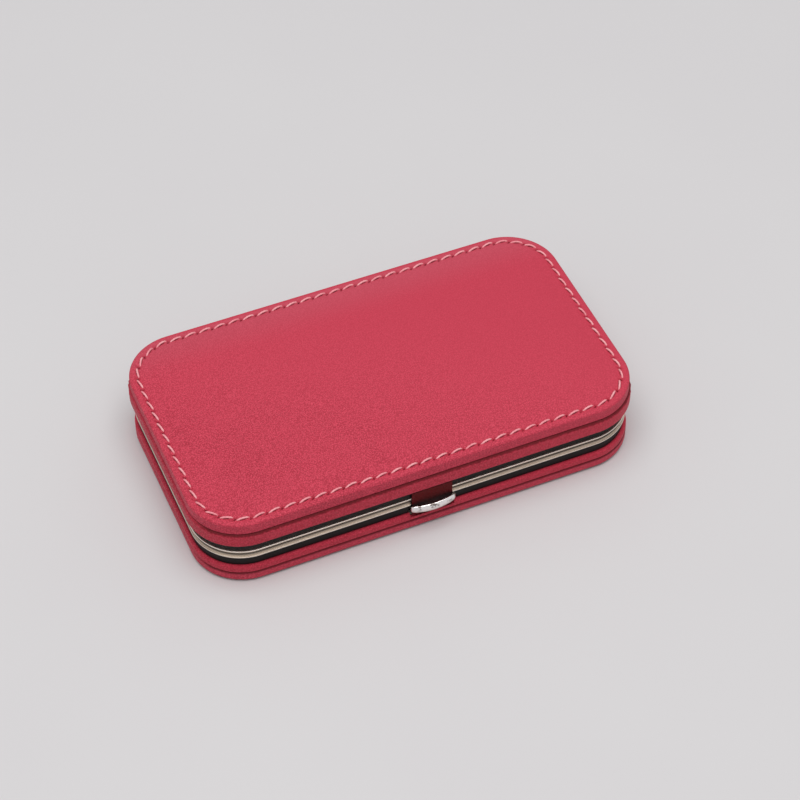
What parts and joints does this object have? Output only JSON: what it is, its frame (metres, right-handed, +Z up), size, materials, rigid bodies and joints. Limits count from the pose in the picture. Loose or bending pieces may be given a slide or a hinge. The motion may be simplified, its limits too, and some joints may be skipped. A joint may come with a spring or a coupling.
{
  "type": "manicure set case",
  "caption": "Hard clamshell case for manicure tools: leather-covered halves on thin metal frames, hinged at the back, with a press catch at the front and loops inside.",
  "frame": {"origin": "middle of the flat bottom face, on the surface that the case lies on", "axes": "+X to the right along the long side, +Y from the front with the catch to the hinge, +Z up"},
  "size_m": [0.111, 0.0664, 0.0203],
  "materials": {
    "panel_leather": "fine-grained soft leather, satin",
    "wall_leather": "fine-grained soft leather, satin",
    "tab_leather": "smooth dark red leather",
    "thread": "pale pink sewing thread",
    "black_binding": "black leatherette, satin",
    "black_lining": "black flocked lining",
    "elastic": "black woven elastic",
    "frame_metal": "nickel-plated sheet, satin",
    "chrome": "bright chrome",
    "spring_steel": "spring steel",
    "board": "grey pressed board",
    "foam": "thin white foam"
  },
  "bodies": {
    "lower_half": {"bottom_cover": "panel_leather", "bottom_padding": "foam", "bottom_board": "board", "lower_wall": "wall_leather", "lower_core": "board", "lower_binding": "black_binding", "lower_frame": "frame_metal", "lower_lining": "black_lining", "lower_tool_strap": "elastic", "lower_hinge_leaf": "frame_metal", "lower_hinge_rivets": "frame_metal", "hinge_pin": "frame_metal", "catch_bracket": "frame_metal", "catch_bracket_rivets": "frame_metal", "catch_pin": "frame_metal", "catch_spring": "spring_steel"},
    "upper_half": {"top_cover": "panel_leather", "top_padding": "foam", "top_board": "board", "upper_wall": "wall_leather", "upper_core": "board", "upper_binding": "black_binding", "upper_frame": "frame_metal", "upper_lining": "black_lining", "upper_tool_strap": "elastic", "upper_hinge_leaf": "frame_metal", "upper_hinge_rivets": "frame_metal", "tab_tongue": "frame_metal", "tab_rivets": "frame_metal", "catch_tab": "tab_leather"},
    "thumb_catch": {"thumb_catch": "chrome"}
  },
  "joints": [
    {"name": "lid_hinge", "type": "hinge", "parent": "lower_half", "child": "upper_half", "pos_m": [0, 0.03185, 0.00877], "axis": [-1, 0, 0], "range_deg": [0, 145]},
    {"name": "catch_press", "type": "hinge", "parent": "lower_half", "child": "thumb_catch", "pos_m": [0, -0.02965, 0.00735], "axis": [1, 0, 0], "range_deg": [0, 15], "stiffness_Nm_per_rad": 0.05, "springref_deg": -5.73, "deforming": ["catch_spring"]}
  ]
}
